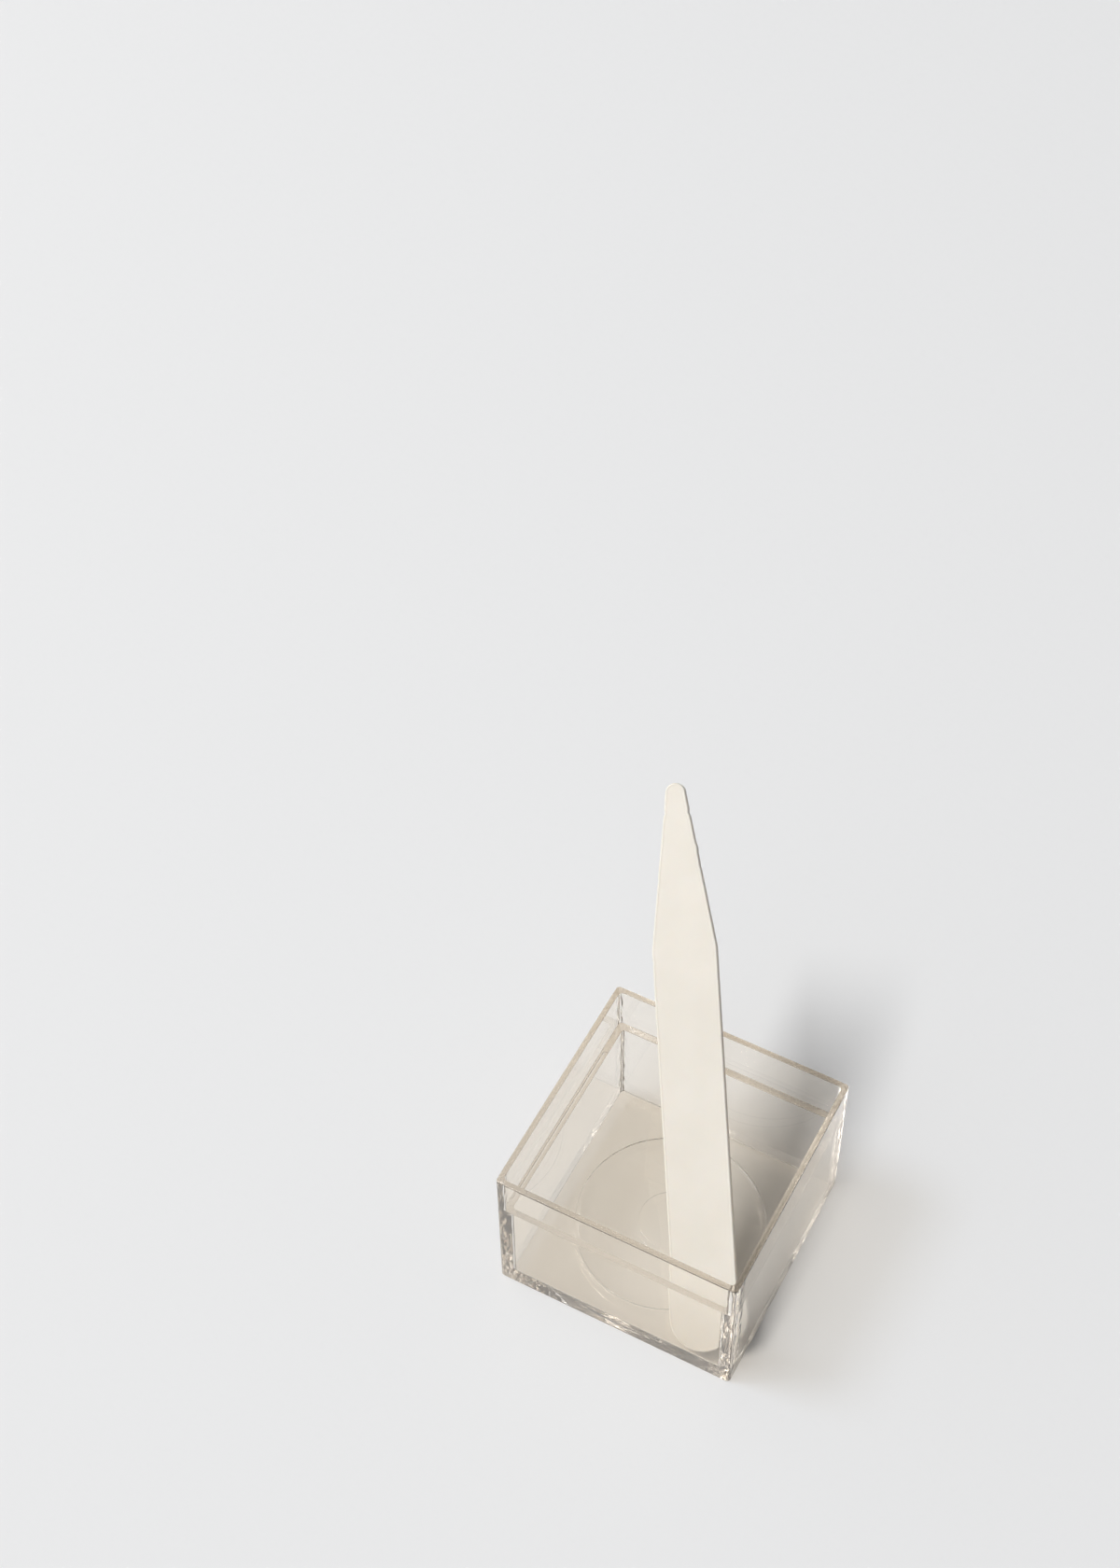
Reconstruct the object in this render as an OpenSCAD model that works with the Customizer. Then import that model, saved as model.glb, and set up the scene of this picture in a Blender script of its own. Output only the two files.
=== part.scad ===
/* [Stay blade] */
// Length of the stay from its round foot to its tip
stay_length = 76; // [60:0.5:82]
// Width at the shoulders, where the blade is widest
stay_width = 9.2; // [8:0.1:11]
// Width of the shank at the round foot
foot_width = 9.1; // [8:0.1:11]
// Distance from the tip back to the shoulders
taper_length = 23; // [15:0.5:30]
// Radius of the narrow round tip
tip_radius = 1.45; // [1:0.05:2.5]
// Radius that softens each shoulder
shoulder_radius = 3; // [1:0.5:4]
// Thickness of the blade without its rib
stay_thickness = 1; // [0.8:0.1:1.4]
// Radius that softens the blade's rim on both faces
edge_radius = 0.3; // [0.1:0.05:0.4]

/* [Stay rib] */
// Width of the raised rib on the under face
rib_width = 4; // [3:0.1:5]
// Height of the rib above the under face
rib_height = 0.5; // [0.3:0.1:0.8]
// Distance from the tip to the rib's round upper end
rib_start = 26; // [24:0.5:34]

/* [Lid] */
// Outer width of the square lid
lid_width = 35; // [34:0.5:38]
// Outer height of the lid
lid_height = 25; // [22:0.5:28]
// Radius of the lid's upright outer corners
lid_corner = 0.6; // [0.3:0.1:1]
// Thickness of the wall under the step
wall = 1.75; // [1.5:0.05:2]
// Thickness of the wall at the rim, above the step
rim_wall = 0.8; // [0.6:0.05:1]
// Depth of the step below the rim
step_depth = 7.4; // [5:0.1:10]
// Thickness of the floor
floor_thickness = 1.75; // [1.5:0.05:2]

/* [Lid marks] */
// Radius of the round line moulded into the floor
ring_radius = 13; // [10:0.1:14]
// Width of that line
ring_width = 0.6; // [0.4:0.1:1]
// Depth of that line
ring_depth = 0.3; // [0.1:0.05:0.5]
// Radius of the shallow round recess in the middle of the floor
dimple_radius = 4.5; // [3:0.1:6]
// Depth of that recess
dimple_depth = 0.2; // [0.1:0.05:0.4]

/* [Pose] */
// Angle that the stay leans to the left within its own plane
lean = 25.9; // [20:0.1:28]
// Clearance where the stay rests against the lid
rest_gap = 0.1; // [0.05:0.05:0.3]

/* [Hidden] */
$fn = 64;

// Cutters run this far past the faces that they cut through
overrun = 1;

// Radii of the inside corners, under the step and above it
cavity_corner = 0.5;
recess_corner = 0.4;

// Segments of the blade's round parts, and of a quarter of its soft rim
round_sides = 32;
rim_steps = 3;

// Half the width of the shank at its round foot
foot_radius = foot_width / 2;

// Height of the step inside the lid
step_level = lid_height - step_depth;

// The blade is steep enough for its rib to clear the rim. A first slope through the foot and the rim gives
// how far back the foot's front edge reaches, and the final slope follows from that.
rise = lid_height - floor_thickness;
first_tilt = atan2(rise, lid_width - rim_wall - wall);
foot_y = wall + rest_gap + stay_thickness * sin(first_tilt);
reach = lid_width - rim_wall - foot_y;
tilt = atan2(rise, reach) + asin((rib_height + rest_gap) / norm([rise, reach]));

// The round foot stands this far from the lid's right wall
foot_x = lid_width - wall - rest_gap - foot_radius;

// Half outline of a disc with a rounded rim, from its axis outwards, for rotate_extrude
function rim_profile(radius) = concat(
    [[0, 0]],
    [for (i = [0 : rim_steps])
        let (turn = -90 + 90 * i / rim_steps)
        [radius - edge_radius + edge_radius * cos(turn), edge_radius + edge_radius * sin(turn)]],
    [for (i = [0 : rim_steps])
        let (turn = 90 * i / rim_steps)
        [radius - edge_radius + edge_radius * cos(turn), stay_thickness - edge_radius + edge_radius * sin(turn)]],
    [[0, stay_thickness]]
);

module soft_disc(radius) {
    rotate_extrude($fn = round_sides)
        polygon(rim_profile(radius));
}

// A square with round corners, standing on its middle
module rounded_block(side, corner, height) {
    linear_extrude(height)
        union() {
            square([side - 2 * corner, side], center = true);
            square([side, side - 2 * corner], center = true);
            for (x = [-1, 1], y = [-1, 1])
                translate([x * (side / 2 - corner), y * (side / 2 - corner)])
                    circle(r = corner);
        }
}

// The blade lies flat with its foot at the origin and its tip along +Y, under face down
module blade() {
    shoulder_y = stay_length - taper_length;
    shoulder_x = stay_width / 2 - shoulder_radius;
    hull() {
        translate([0, foot_radius, 0])
            soft_disc(foot_radius);
        for (x = [-1, 1])
            translate([x * shoulder_x, shoulder_y, 0])
                soft_disc(shoulder_radius);
        translate([0, stay_length - tip_radius, 0])
            soft_disc(tip_radius);
    }
}

// The rib has round ends; its lower end is concentric with the foot
module rib() {
    radius = rib_width / 2;
    top = stay_length - rib_start - radius;
    depth = rib_height + stay_thickness / 2;
    translate([0, 0, -rib_height])
        linear_extrude(depth)
            union() {
                translate([-radius, foot_radius])
                    square([rib_width, top - foot_radius]);
                translate([0, foot_radius])
                    circle(r = radius);
                translate([0, top])
                    circle(r = radius);
            }
}

module collar_stay() {
    color([0.92, 0.89, 0.84])
        translate([foot_x - lid_width / 2, foot_y - lid_width / 2, floor_thickness + rest_gap])
            rotate([tilt, 0, 0])
                translate([0, foot_radius, 0])
                    rotate([0, 0, lean])
                        translate([0, -foot_radius, 0])
                            union() {
                                blade();
                                rib();
                            }
}

// A shallow round groove with sloping sides, cut down from level zero
module ring_cutter() {
    half = ring_width / 2;
    rotate_extrude()
        polygon([
            [ring_radius - half, overrun],
            [ring_radius - half, 0],
            [ring_radius - half / 2, -ring_depth],
            [ring_radius + half / 2, -ring_depth],
            [ring_radius + half, 0],
            [ring_radius + half, overrun]
        ]);
}

module clear_lid() {
    color([0.85, 0.84, 0.8, 0.4])
        difference() {
            rounded_block(lid_width, lid_corner, lid_height);
            translate([0, 0, floor_thickness])
                rounded_block(lid_width - 2 * wall, cavity_corner, lid_height);
            translate([0, 0, step_level])
                rounded_block(lid_width - 2 * rim_wall, recess_corner, lid_height);
            translate([0, 0, floor_thickness])
                ring_cutter();
            translate([0, 0, floor_thickness - dimple_depth])
                cylinder(r = dimple_radius, h = dimple_depth + overrun);
        }
}

collar_stay();
clear_lid();
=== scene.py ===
"""A collar stay leaning in the clear lid of its box, on a pale floor."""

import math

import bmesh
import bpy
from mathutils import Matrix, Vector, noise


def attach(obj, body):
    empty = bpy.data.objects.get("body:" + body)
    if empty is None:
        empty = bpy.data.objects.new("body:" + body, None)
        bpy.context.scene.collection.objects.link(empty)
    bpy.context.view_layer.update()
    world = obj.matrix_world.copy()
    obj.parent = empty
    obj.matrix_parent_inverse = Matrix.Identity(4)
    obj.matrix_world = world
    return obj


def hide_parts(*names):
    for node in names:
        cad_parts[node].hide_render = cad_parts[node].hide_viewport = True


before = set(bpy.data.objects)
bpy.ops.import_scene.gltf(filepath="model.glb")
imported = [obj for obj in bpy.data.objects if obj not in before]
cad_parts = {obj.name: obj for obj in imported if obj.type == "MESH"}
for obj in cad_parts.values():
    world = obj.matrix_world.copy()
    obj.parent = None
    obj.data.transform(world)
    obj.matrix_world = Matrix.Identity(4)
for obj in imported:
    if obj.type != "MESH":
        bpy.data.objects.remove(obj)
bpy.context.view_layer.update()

MM = 0.001

# Sizes of the stay, in millimetres, as the part has them
STAY_LENGTH = 76.0
STAY_WIDTH = 9.2
FOOT_WIDTH = 9.1
TAPER_LENGTH = 23.0
TIP_RADIUS = 1.45
SHOULDER_RADIUS = 3.0
STAY_THICKNESS = 1.0
EDGE_RADIUS = 0.3
RIB_WIDTH = 4.0
RIB_HEIGHT = 0.5
RIB_START = 26.0
FOOT_RADIUS = FOOT_WIDTH / 2

# Sizes of the lid, in millimetres
LID_WIDTH = 35.0
LID_HEIGHT = 25.0
LID_CORNER = 0.6
WALL = 1.75
RIM_WALL = 0.8
STEP_DEPTH = 7.4
FLOOR_THICKNESS = 1.75
RING_RADIUS = 13.0
RING_WIDTH = 0.6
RING_DEPTH = 0.3
DIMPLE_RADIUS = 4.5
DIMPLE_DEPTH = 0.2

# How the stay leans: to the left within its slope, and its clearance from the lid
LEAN = math.radians(25.9)
REST_GAP = 0.1

# Points of the mesh nearer than this are one point or on one face, in millimetres
TOUCH = 0.001


def material(name):
    """A new node material and its Principled shader."""
    made = bpy.data.materials.new(name)
    made.use_nodes = True
    return made, made.node_tree.nodes["Principled BSDF"]


def object_noise(tree, cells, detail):
    """A noise texture on the piece's own coordinates, in cells to the metre."""
    place = tree.nodes.new("ShaderNodeTexCoord")
    pattern = tree.nodes.new("ShaderNodeTexNoise")
    pattern.inputs["Scale"].default_value = cells
    pattern.inputs["Detail"].default_value = detail
    tree.links.new(place.outputs["Object"], pattern.inputs["Vector"])
    return pattern


def ramp(tree, source, stops):
    """A colour ramp over a source from 0 to 1, with stops of place and colour."""
    made = tree.nodes.new("ShaderNodeValToRGB")
    elements = made.color_ramp.elements
    while len(elements) < len(stops):
        elements.new(0.5)
    for element, (place, colour) in zip(elements, stops):
        element.position = place
        element.color = colour
    tree.links.new(source, made.inputs["Fac"])
    return made


# The ivory plastic: its colour, where it clouds, and how far light spreads in it, in millimetres
CLOUD_CELLS = 160.0
CLOUD_TONES = [
    (0.3, (0.72, 0.68, 0.605, 1.0)),
    (0.7, (0.75, 0.71, 0.64, 1.0)),
]
SPREAD_SHARE = 0.25
SPREAD_COLOUR = (1.0, 0.7, 0.45)
SPREAD_DEPTH = 1.2

# Its roughness, from where it is rubbed to where it isn't, and its fine grain, with that grain's depth
# in millimetres
RUBBED_CELLS = 420.0
RUBBED_SHEEN = [
    (0.35, (0.42, 0.42, 0.42, 1.0)),
    (0.65, (0.56, 0.56, 0.56, 1.0)),
]
SOFT_DETAIL = 3.0
GRAIN_CELLS = 2600.0
GRAIN_DETAIL = 4.0
GRAIN_STRENGTH = 0.12
GRAIN_DEPTH = 0.05


def ivory_plastic():
    """Matte moulded plastic, a warm white with faint clouding and scuffs."""
    made, shader = material("warm_ivory")
    tree = made.node_tree
    clouds = object_noise(tree, CLOUD_CELLS, SOFT_DETAIL)
    tones = ramp(tree, clouds.outputs["Fac"], CLOUD_TONES)
    tree.links.new(tones.outputs["Color"], shader.inputs["Base Color"])
    rubbed = object_noise(tree, RUBBED_CELLS, SOFT_DETAIL)
    sheen = ramp(tree, rubbed.outputs["Fac"], RUBBED_SHEEN)
    tree.links.new(sheen.outputs["Color"], shader.inputs["Roughness"])
    grain = object_noise(tree, GRAIN_CELLS, GRAIN_DETAIL)
    fine = tree.nodes.new("ShaderNodeBump")
    fine.inputs["Strength"].default_value = GRAIN_STRENGTH
    fine.inputs["Distance"].default_value = GRAIN_DEPTH * MM
    tree.links.new(grain.outputs["Fac"], fine.inputs["Height"])
    tree.links.new(fine.outputs["Normal"], shader.inputs["Normal"])
    shader.inputs["Subsurface Weight"].default_value = SPREAD_SHARE
    shader.inputs["Subsurface Radius"].default_value = SPREAD_COLOUR
    shader.inputs["Subsurface Scale"].default_value = SPREAD_DEPTH * MM
    shader.inputs["IOR"].default_value = 1.49
    return made


# The clear plastic: the tint of its faces, what each face lets through of the lamp, and the tint within
FACE_TINT = (1.0, 0.97, 0.92, 1.0)
LAMP_TINT = (0.91, 0.895, 0.87, 1.0)
BODY_TINT = (0.85, 0.7, 0.5, 1.0)
BODY_DENSITY = 12.0


def clear_plastic():
    """Polished clear plastic, a little warm, that shadow rays pass straight through."""
    made, shader = material("polished_clear")
    tree = made.node_tree
    output = tree.nodes["Material Output"]
    shader.inputs["Base Color"].default_value = FACE_TINT
    shader.inputs["Transmission Weight"].default_value = 1.0
    shader.inputs["Roughness"].default_value = 0.0
    shader.inputs["IOR"].default_value = 1.5
    passing = tree.nodes.new("ShaderNodeBsdfTransparent")
    passing.inputs["Color"].default_value = LAMP_TINT
    path = tree.nodes.new("ShaderNodeLightPath")
    either = tree.nodes.new("ShaderNodeMixShader")
    tree.links.new(path.outputs["Is Shadow Ray"], either.inputs[0])
    tree.links.new(shader.outputs["BSDF"], either.inputs[1])
    tree.links.new(passing.outputs["BSDF"], either.inputs[2])
    tree.links.new(either.outputs["Shader"], output.inputs["Surface"])
    tint = tree.nodes.new("ShaderNodeVolumeAbsorption")
    tint.inputs["Color"].default_value = BODY_TINT
    tint.inputs["Density"].default_value = BODY_DENSITY
    tree.links.new(tint.outputs["Volume"], output.inputs["Volume"])
    return made


# The floor's grey, its roughness and how much it mirrors
FLOOR_GREY = (0.8, 0.8, 0.8, 1.0)
FLOOR_ROUGHNESS = 0.9
FLOOR_MIRRORING = 0.1


def pale_floor():
    """A seamless pale grey surface."""
    made, shader = material("pale_floor")
    shader.inputs["Base Color"].default_value = FLOOR_GREY
    shader.inputs["Roughness"].default_value = FLOOR_ROUGHNESS
    shader.inputs["Specular IOR Level"].default_value = FLOOR_MIRRORING
    return made


def add_piece(name, built, finish):
    """Turns a bmesh in millimetres into a smooth object in metres."""
    bmesh.ops.scale(built, vec=(MM, MM, MM), verts=built.verts)
    mesh = bpy.data.meshes.new(name)
    built.to_mesh(mesh)
    built.free()
    piece = bpy.data.objects.new(name, mesh)
    bpy.context.scene.collection.objects.link(piece)
    mesh.materials.append(finish)
    for face in mesh.polygons:
        face.use_smooth = True
    return piece


# The most that a large face may count for in the normals round it
MOST_WEIGHT = 100


def even_normals(piece):
    """Keeps flat faces flat where they meet rounded edges."""
    weighted = piece.modifiers.new("even_normals", "WEIGHTED_NORMAL")
    weighted.weight = MOST_WEIGHT


def join_solid(piece, other, operation):
    """Applies a boolean of another piece, and removes that piece."""
    cut = piece.modifiers.new("join", "BOOLEAN")
    cut.operation = operation
    cut.solver = "EXACT"
    cut.object = other
    bpy.context.view_layer.objects.active = piece
    with bpy.context.temp_override(object=piece, active_object=piece):
        bpy.ops.object.modifier_apply(modifier=cut.name)
    bpy.data.objects.remove(other)


def stay_place():
    """The matrix that stands the flat stay in the lid, in millimetres."""
    rise = LID_HEIGHT - FLOOR_THICKNESS
    first_tilt = math.atan2(rise, LID_WIDTH - RIM_WALL - WALL)
    foot_y = WALL + REST_GAP + STAY_THICKNESS * math.sin(first_tilt)
    reach = LID_WIDTH - RIM_WALL - foot_y
    tilt = math.atan2(rise, reach) + math.asin((RIB_HEIGHT + REST_GAP) / math.hypot(rise, reach))
    foot_x = LID_WIDTH - WALL - REST_GAP - FOOT_RADIUS
    half = LID_WIDTH / 2
    stand = Matrix.Translation((foot_x - half, foot_y - half, FLOOR_THICKNESS + REST_GAP))
    turn = Matrix.Translation((0, FOOT_RADIUS, 0)) @ Matrix.Rotation(LEAN, 4, "Z")
    return stand @ Matrix.Rotation(tilt, 4, "X") @ turn @ Matrix.Translation((0, -FOOT_RADIUS, 0))


# Edges of an outline that turn by less than this become one
STRAIGHT = math.radians(0.1)


def hull_outline(rounds, level, segments):
    """One flat face round a set of circles, given as rows of x, y and radius."""
    flat = bmesh.new()
    for x, y, radius in rounds:
        middle = Matrix.Translation((x, y, level))
        bmesh.ops.create_circle(flat, segments=segments, radius=radius, matrix=middle)
    bmesh.ops.convex_hull(flat, input=flat.verts)
    bmesh.ops.dissolve_limit(flat, angle_limit=STRAIGHT, verts=flat.verts, edges=flat.edges,
                             use_dissolve_boundaries=False)
    return flat


def soften_rim(shape, face, rows):
    """Shapes a face's rim: the face is inset and raised row by row, each row an inset and a rise."""
    last_inset, last_rise = 0.0, 0.0
    for inset, rise in rows:
        bmesh.ops.inset_region(shape, faces=[face], thickness=inset - last_inset, depth=rise - last_rise,
                               use_even_offset=True, use_boundary=True)
        last_inset, last_rise = inset, rise


def round_rows(radius, steps):
    """The rows of a quarter round."""
    turns = [math.pi / 2 * step / steps for step in range(1, steps + 1)]
    return [(radius * (1 - math.cos(turn)), radius * math.sin(turn)) for turn in turns]


# The blade's rim: the sides of each circle in its outline, cell size along it, and its rounding
BLADE_SIDES = 96
RIM_CELL = 0.3
ROUND_STEPS = 4

# The rib: the sides of each of its round ends, and the rounding of its edge
RIB_SIDES = 64
RIB_EDGE = 0.15

# The waver of the blade's trimmed edge, and how far apart its two sides lie in the noise
WAVER_LENGTH = 2.2
WAVER_DEPTH = 0.035
WAVER_APART = 40

# A face's normal is at least this upright where the blade is flat
UPRIGHT = 0.9

# The moulded bead round the blade's face, as rows of inset and rise from its side
BEAD = [
    (0.02, 0.12),
    (0.07, 0.22),
    (0.14, 0.28),
    (0.22, 0.30),
    (0.32, 0.28),
    (0.42, 0.25),
    (0.50, 0.257),
    (0.58, 0.27),
]

# Nicks and flash on the rim: side, distance from the tip, length along the rim and depth into it
NICKS = [
    (-1, 4.1, 0.35, 0.16),
    (1, 4.2, 0.3, 0.14),
    (1, 9.1, 0.5, -0.12),
    (1, 11.6, 0.3, 0.07),
    (-1, 13.4, 0.25, 0.06),
    (-1, 24.6, 0.3, 0.08),
]


def wear_rim(shape):
    """Wavers the outline a little and cuts the nicks, before the blade gets its thickness."""
    for vert in shape.verts:
        along = STAY_LENGTH - vert.co.y
        side = 1 if vert.co.x > 0 else -1
        waver = noise.noise(Vector((side * WAVER_APART, vert.co.y / WAVER_LENGTH, 0)))
        inwards = WAVER_DEPTH * (1 + waver) / 2
        for nick_side, place, length, depth in NICKS:
            if side == nick_side:
                inwards += depth * math.exp(-((along - place) / length) ** 2)
        if TIP_RADIUS < along < STAY_LENGTH - FOOT_RADIUS:
            vert.co.x -= side * inwards


def blade_solid():
    """The flat blade: one outline round its foot, shoulders and tip, with a soft rim on both faces."""
    shoulder_x = STAY_WIDTH / 2 - SHOULDER_RADIUS
    shoulder_y = STAY_LENGTH - TAPER_LENGTH
    blade = hull_outline([
        (0.0, FOOT_RADIUS, FOOT_RADIUS),
        (-shoulder_x, shoulder_y, SHOULDER_RADIUS),
        (shoulder_x, shoulder_y, SHOULDER_RADIUS),
        (0.0, STAY_LENGTH - TIP_RADIUS, TIP_RADIUS),
    ], EDGE_RADIUS, BLADE_SIDES)
    for edge in list(blade.edges):
        cuts = int(edge.calc_length() / RIM_CELL)
        if cuts:
            bmesh.ops.subdivide_edges(blade, edges=[edge], cuts=cuts)
    wear_rim(blade)
    face = blade.faces[:][0]
    if face.normal.z > 0:
        face.normal_flip()
    raised = bmesh.ops.extrude_face_region(blade, geom=[face], use_keep_orig=True)
    top_verts = [v for v in raised["geom"] if isinstance(v, bmesh.types.BMVert)]
    bmesh.ops.translate(blade, vec=(0, 0, STAY_THICKNESS - 2 * EDGE_RADIUS), verts=top_verts)
    bmesh.ops.recalc_face_normals(blade, faces=blade.faces)
    flats = [f for f in blade.faces if abs(f.normal.z) > UPRIGHT]
    flats.sort(key=lambda f: f.calc_center_median().z)
    soften_rim(blade, flats[0], round_rows(EDGE_RADIUS, ROUND_STEPS))
    soften_rim(blade, flats[-1], BEAD)
    return blade


def rib_solid():
    """The round-ended rib, reaching up into the blade."""
    radius = RIB_WIDTH / 2
    top = STAY_LENGTH - RIB_START - radius
    rib = hull_outline([(0.0, FOOT_RADIUS, radius), (0.0, top, radius)], STAY_THICKNESS / 2, RIB_SIDES)
    raised = bmesh.ops.extrude_face_region(rib, geom=rib.faces[:], use_keep_orig=True)
    low_verts = [v for v in raised["geom"] if isinstance(v, bmesh.types.BMVert)]
    bmesh.ops.translate(rib, vec=(0, 0, RIB_EDGE - RIB_HEIGHT - STAY_THICKNESS / 2), verts=low_verts)
    bmesh.ops.recalc_face_normals(rib, faces=rib.faces)
    flat = min(rib.faces, key=lambda f: f.calc_center_median().z)
    soften_rim(rib, flat, round_rows(RIB_EDGE, ROUND_STEPS))
    return rib


def build_stay(finish):
    """The whole stay, standing in the lid."""
    piece = add_piece("ivory_stay", blade_solid(), finish)
    join_solid(piece, add_piece("rib", rib_solid(), finish), "UNION")
    piece.data.transform(Matrix.Scale(MM, 4) @ stay_place() @ Matrix.Scale(1 / MM, 4))
    even_normals(piece)
    return piece


# The lid's mesh: cells along half a wall and round a corner, how even they are along the wall, and the
# profile that makes the corner a true round
WALL_CELLS = 60
CORNER_CELLS = 6
CELL_EVENNESS = 0.5
ROUND_PROFILE = 0.5

# Small rounds on the lid's moulded edges: their size, their steps at the foot, and at the other edges
# how far in from both faces the middle lies, as a share of the size
MOULD_EDGE = 0.1
EDGE_STEPS = 3
EDGE_MIDDLE = 0.3

# The fillet where the lid's floor meets the walls
FLOOR_FILLET = 0.3
FILLET_ROWS = 4

# Ripples round the foot of the walls, down the upright corners, and under the lid, where they start a
# little way in from the edge and are full at twice that: how far they spread, how deep they go, and
# their size along and across the edge
CORNER_REACH = 2.4
FOOT_REACH = 1.3
UNDER_START = 1.0
UNDER_REACH = 5.5
CORNER_DEPTH = 0.09
FOOT_DEPTH = 0.02
UNDER_DEPTH = 0.03
RIPPLE_LENGTH = 1.9
RIPPLE_WIDTH = 0.6

# The ripples' noise: its octaves, how fast they weaken, how much finer each is than the last, and the
# ripples' share of their depth where the noise is 0
RIPPLE_OCTAVES = 3
OCTAVE_FALL = 1.0
OCTAVE_STEP = 2.0
RIPPLE_MIDDLE = 0.5

# The power of the ripples' fading, and what sets the walls, the corners and the foot apart in the noise
FADE_POWER = 0.7
WALL_APART = 10.0
CORNER_APART = 5.0
FOOT_APART = 3.0

# Rows of cells for the ripples, and how much closer together they are at the underside's edge
UNDER_ROWS = 34
UNDER_GRADING = 1.2
FOOT_ROWS = 20
OUTER_ROWS = 60

# The ring's groove with its sloping sides, in shares of its half width and depth
RING_PROFILE = [
    (-1.0, -1.0),
    (-1.0, 0.0),
    (-0.35, 1.0),
    (0.35, 1.0),
    (1.0, 0.0),
    (1.0, -1.0),
]

# Steps round the ring and the dimple, and how far the dimple's cutter stands out of the floor
RING_STEPS = 160
DIMPLE_STEPS = 96
CUTTER_RISE = 0.5


def rounded_square():
    """One flat square face of the lid's outer width, with round corners and cells finer near them."""
    flat = bmesh.new()
    half = LID_WIDTH / 2
    bmesh.ops.create_grid(flat, x_segments=1, y_segments=1, size=half)
    bmesh.ops.bevel(flat, geom=flat.verts[:], offset=LID_CORNER, segments=CORNER_CELLS,
                    profile=ROUND_PROFILE, affect="VERTICES", material=-1)
    sides = [e for e in flat.edges if e.calc_length() > half]
    bmesh.ops.subdivide_edges(flat, edges=sides, cuts=2 * WALL_CELLS - 1)
    straight = half - LID_CORNER
    for vert in flat.verts:
        for axis in (0, 1):
            if abs(vert.co[axis]) < straight and abs(abs(vert.co[1 - axis]) - half) < TOUCH:
                inner = 1 - abs(vert.co[axis]) / straight
                place = 1 - (CELL_EVENNESS * inner + (1 - CELL_EVENNESS) * inner * inner)
                vert.co[axis] = math.copysign(straight * place, vert.co[axis])
    return flat


def foot_round(half, size):
    """Rows of half width and height round the lid's foot, from its underside to its side."""
    rows = []
    for step in range(EDGE_STEPS + 1):
        turn = math.pi / 2 * step / EDGE_STEPS
        rows.append((half - size + size * math.sin(turn), size * (1 - math.cos(turn))))
    return rows


def graded(low, high, count, power):
    """Places from low to high without the two ends, closer together near low if the power is over 1."""
    return [low + (high - low) * (step / count) ** power for step in range(1, count)]


def lid_rows():
    """Half widths and heights of the lid's skin: its underside, up the outside and down the inside."""
    half = LID_WIDTH / 2
    recess = half - RIM_WALL
    cavity = half - WALL
    top = LID_HEIGHT
    step = LID_HEIGHT - STEP_DEPTH
    edge = MOULD_EDGE
    middle = EDGE_MIDDLE * edge
    under = graded(0.0, UNDER_REACH, UNDER_ROWS, UNDER_GRADING)
    rows = [(half - edge - out, 0.0) for out in reversed(under)]
    rows += foot_round(half, edge)
    rows += [(half, height) for height in graded(edge, FOOT_REACH, FOOT_ROWS, 1.0)]
    rows += [(half, height) for height in graded(FOOT_REACH, top - edge, OUTER_ROWS, 1.0)]
    rows += [(half, top - edge), (half - middle, top - middle), (half - edge, top)]
    rows += [(recess + edge, top), (recess + middle, top - middle), (recess, top - edge)]
    rows += [(recess, step + edge), (recess - middle, step + middle), (recess - edge, step)]
    rows += [(cavity + edge, step), (cavity + middle, step - middle), (cavity, step - edge)]
    rows.append((cavity, FLOOR_THICKNESS + FLOOR_FILLET))
    for row in range(1, FILLET_ROWS + 1):
        turn = math.pi / 2 * row / FILLET_ROWS
        rows.append((cavity - FLOOR_FILLET * (1 - math.cos(turn)),
                     FLOOR_THICKNESS + FLOOR_FILLET * (1 - math.sin(turn))))
    return rows


def lofted_lid():
    """One closed skin: a square face carried through the rows by repeated extrusion."""
    shell = rounded_square()
    face = shell.faces[:][0]
    rows = lid_rows()
    current, level = rows[0]
    grown = current / (LID_WIDTH / 2)
    bmesh.ops.scale(shell, vec=(grown, grown, 1.0), verts=shell.verts)
    bmesh.ops.translate(shell, vec=(0, 0, level), verts=shell.verts)
    carried = []
    for half, height in rows[1:]:
        raised = bmesh.ops.extrude_face_region(shell, geom=[face], use_keep_orig=True)
        bmesh.ops.delete(shell, geom=carried, context="FACES_ONLY")
        face = [f for f in raised["geom"] if isinstance(f, bmesh.types.BMFace)][0]
        carried = [face]
        grown = half / current
        bmesh.ops.scale(shell, vec=(grown, grown, 1.0), verts=face.verts)
        bmesh.ops.translate(shell, vec=(0, 0, height - level), verts=face.verts)
        current = half
        level = height
    bmesh.ops.recalc_face_normals(shell, faces=shell.faces)
    return shell


def ripple_share(along, across, seed):
    """The ripples' share of their full depth, by the distances along an edge and across from it."""
    place = Vector((along / RIPPLE_LENGTH, across / RIPPLE_WIDTH, seed))
    waves = noise.fractal(place, OCTAVE_FALL, OCTAVE_STEP, RIPPLE_OCTAVES)
    return max(0.0, RIPPLE_MIDDLE + waves)


def fade(distance, reach):
    """From 1 at an edge down to 0 where the reach ends."""
    return max(0.0, 1 - distance / reach) ** FADE_POWER


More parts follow.
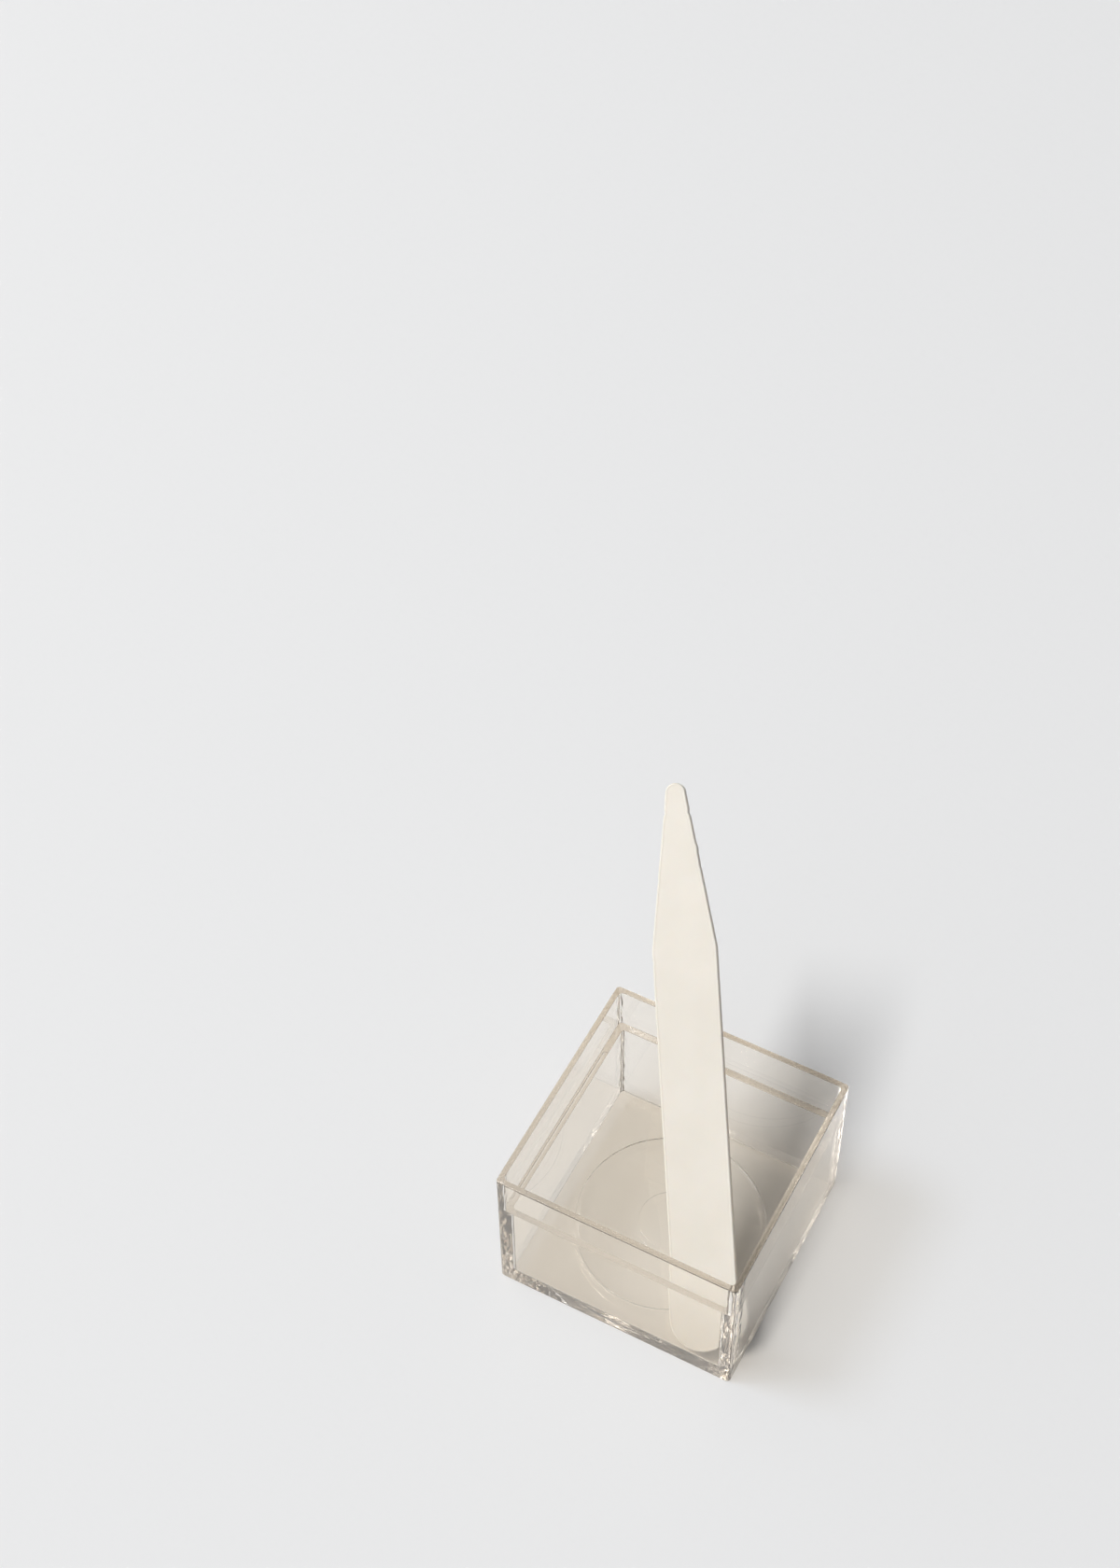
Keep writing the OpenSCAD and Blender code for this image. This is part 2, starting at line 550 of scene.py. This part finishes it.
def ripple(shell):
    """Presses faint waves into the sides along the foot and the corners, and into the underside."""
    half = LID_WIDTH / 2
    skin = MOULD_EDGE / 2
    for vert in shell.verts:
        x, y, z = vert.co
        on_side = abs(x) > abs(y)
        along = y if on_side else x
        across = x if on_side else y
        seed = WALL_APART * math.copysign(1 + on_side, across)
        if z < TOUCH:
            inside = half - abs(across)
            grown = min(1.0, max(0.0, inside / UNDER_START - 1))
            upwards = UNDER_DEPTH * grown * fade(inside, UNDER_REACH)
            vert.co.z += upwards * ripple_share(along, inside, seed)
        elif abs(across) > half - skin:
            from_corner = half - abs(along)
            corner_seed = seed + math.copysign(CORNER_APART, along)
            corner = fade(from_corner, CORNER_REACH) * ripple_share(z, from_corner, corner_seed)
            foot = fade(z, FOOT_REACH) * ripple_share(along, z, seed + FOOT_APART)
            inwards = max(CORNER_DEPTH * corner, FOOT_DEPTH * foot)
            vert.co[0 if on_side else 1] -= math.copysign(inwards, across)


def lathe(profile, steps):
    """Spins a half outline of radius and height round the upright axis."""
    made = bmesh.new()
    verts = [made.verts.new((radius, 0, height)) for radius, height in profile]
    edges = [made.edges.new(pair) for pair in zip(verts, verts[1:] + verts[:1])]
    bmesh.ops.spin(made, geom=verts + edges, axis=(0, 0, 1), cent=(0, 0, 0), angle=math.tau, steps=steps,
                   use_merge=True)
    bmesh.ops.remove_doubles(made, verts=made.verts, dist=TOUCH)
    bmesh.ops.recalc_face_normals(made, faces=made.faces)
    return made


def build_lid(finish):
    """The clear lid, with its step, the marks on its floor and its rippled outer edges."""
    shell = lofted_lid()
    ripple(shell)
    piece = add_piece("clear_box_lid", shell, finish)
    half = RING_WIDTH / 2
    top = FLOOR_THICKNESS
    groove = [(RING_RADIUS + across * half, top - down * RING_DEPTH) for across, down in RING_PROFILE]
    join_solid(piece, add_piece("groove", lathe(groove, RING_STEPS), finish), "DIFFERENCE")
    dimple = [
        (0.0, top + CUTTER_RISE),
        (DIMPLE_RADIUS, top + CUTTER_RISE),
        (DIMPLE_RADIUS, top),
        (DIMPLE_RADIUS - DIMPLE_DEPTH, top - DIMPLE_DEPTH),
        (0.0, top - DIMPLE_DEPTH),
    ]
    join_solid(piece, add_piece("dimple", lathe(dimple, DIMPLE_STEPS), finish), "DIFFERENCE")
    even_normals(piece)
    return piece


# The camera's place in millimetres from the middle of the lid's underside, how it is turned, its lens
# and sensor in millimetres, and the nearest that it sees, in metres
CAMERA_PLACE = (72.0, -160.2, 312.4)
CAMERA_TURN = math.radians(28.89)
CAMERA_DOWN = math.radians(50.74)
CAMERA_ROLL = math.radians(-1.01)
CAMERA_LENS = 57.885
CAMERA_SENSOR = 36.0
CAMERA_NEAR = 0.01


def place_camera():
    """The photograph's own viewing angle."""
    lens = bpy.data.cameras.new("camera")
    lens.lens = CAMERA_LENS
    lens.sensor_fit = "AUTO"
    lens.sensor_width = CAMERA_SENSOR
    lens.clip_start = CAMERA_NEAR
    camera = bpy.data.objects.new("camera", lens)
    turn = Matrix.Rotation(CAMERA_TURN, 4, "Z") @ Matrix.Rotation(math.pi / 2 - CAMERA_DOWN, 4, "X")
    place = Matrix.Translation(Vector(CAMERA_PLACE) * MM)
    camera.matrix_world = place @ turn @ Matrix.Rotation(CAMERA_ROLL, 4, "Z")
    bpy.context.scene.collection.objects.link(camera)
    bpy.context.scene.camera = camera


# The main light: the way to it from the lid, its distance and size in metres, and its power
KEY_WAY = Vector((-0.5, -0.17, 0.85)).normalized()
KEY_DISTANCE = 3.0
KEY_SIZE = 0.85
KEY_POWER = 63.5

# The lamp's bright face as the plastic shows it: its glow, and where it starts and is full
FACE_GLOW = 12.0
FACE_STOPS = [
    (0.95, (0.0, 0.0, 0.0, 1.0)),
    (0.975, (1.0, 1.0, 1.0, 1.0)),
]

# The room: the way to its bright side, and its glow from the slightly cool dim side to that one
ROOM_WAY = Vector((-0.62, -0.62, 0.48)).normalized()
ROOM_STOPS = [
    (0.0, (0.14, 0.145, 0.155, 1.0)),
    (0.32, (0.17, 0.175, 0.185, 1.0)),
    (0.85, (0.9, 0.9, 0.9, 1.0)),
]

# The floor's size in metres, and how far it lies under the lid, in millimetres
FLOOR_SIZE = 4.0
FLOOR_GAP = 0.1

# How often light may turn inside the clear walls, and be mirrored
MOST_TURNS = 40
MOST_MIRRORINGS = 20


def hang_lamp():
    """One large soft light from the left, which only shadow rays look for."""
    lamp = bpy.data.lights.new("key", "AREA")
    lamp.shape = "SQUARE"
    lamp.size = KEY_SIZE
    lamp.energy = KEY_POWER
    lamp.cycles.use_multiple_importance_sampling = False
    light = bpy.data.objects.new("key", lamp)
    light.location = KEY_WAY * KEY_DISTANCE
    light.rotation_euler = (-KEY_WAY).to_track_quat("-Z", "Y").to_euler()
    bpy.context.scene.collection.objects.link(light)


def glow_towards(tree, place, way, stops):
    """A colour ramp over how nearly a direction points the given way."""
    towards = tree.nodes.new("ShaderNodeVectorMath")
    towards.operation = "DOT_PRODUCT"
    towards.inputs[1].default_value = way
    tree.links.new(place.outputs["Generated"], towards.inputs[0])
    return ramp(tree, towards.outputs["Value"], stops)


def glow_room():
    """A room that is bright on one side, which no shadow ray looks for.

    The lamp's face shows in it too, but only until a ray has met a surface that scatters light.
    """
    world = bpy.data.worlds.new("studio")
    world.cycles.sampling_method = "NONE"
    world.use_nodes = True
    tree = world.node_tree
    place = tree.nodes.new("ShaderNodeTexCoord")
    room = tree.nodes["Background"]
    sides = glow_towards(tree, place, ROOM_WAY, ROOM_STOPS)
    tree.links.new(sides.outputs["Color"], room.inputs["Color"])
    face = tree.nodes.new("ShaderNodeBackground")
    face.inputs["Strength"].default_value = FACE_GLOW
    spot = glow_towards(tree, place, KEY_WAY, FACE_STOPS)
    tree.links.new(spot.outputs["Color"], face.inputs["Color"])
    path = tree.nodes.new("ShaderNodeLightPath")
    shown = tree.nodes.new("ShaderNodeMixShader")
    tree.links.new(path.outputs["Diffuse Depth"], shown.inputs[0])
    tree.links.new(face.outputs["Background"], shown.inputs[1])
    whole = tree.nodes.new("ShaderNodeAddShader")
    tree.links.new(room.outputs["Background"], whole.inputs[0])
    tree.links.new(shown.outputs["Shader"], whole.inputs[1])
    tree.links.new(whole.outputs["Shader"], tree.nodes["World Output"].inputs["Surface"])
    bpy.context.scene.world = world


def lay_floor(finish):
    """A wide flat floor, just under the lid."""
    ground = bmesh.new()
    bmesh.ops.create_grid(ground, x_segments=1, y_segments=1, size=FLOOR_SIZE / 2,
                          matrix=Matrix.Translation((0, 0, -FLOOR_GAP * MM)))
    mesh = bpy.data.meshes.new("floor")
    ground.to_mesh(mesh)
    ground.free()
    floor = bpy.data.objects.new("floor", mesh)
    mesh.materials.append(finish)
    bpy.context.scene.collection.objects.link(floor)


def set_light_paths():
    """Enough turns for light that runs along inside the clear walls, at its full strength."""
    cycles = bpy.context.scene.cycles
    cycles.max_bounces = MOST_TURNS
    cycles.transmission_bounces = MOST_TURNS
    cycles.glossy_bounces = MOST_MIRRORINGS
    cycles.caustics_refractive = True
    cycles.caustics_reflective = False
    cycles.blur_glossy = 0.0
    cycles.sample_clamp_indirect = 0.0
    bpy.context.scene.view_settings.view_transform = "Standard"


place_camera()
hang_lamp()
glow_room()
lay_floor(pale_floor())
set_light_paths()

stay = build_stay(ivory_plastic())
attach(stay, "root")
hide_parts("collar_stay")

lid = build_lid(clear_plastic())
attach(lid, "root")
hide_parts("clear_lid")
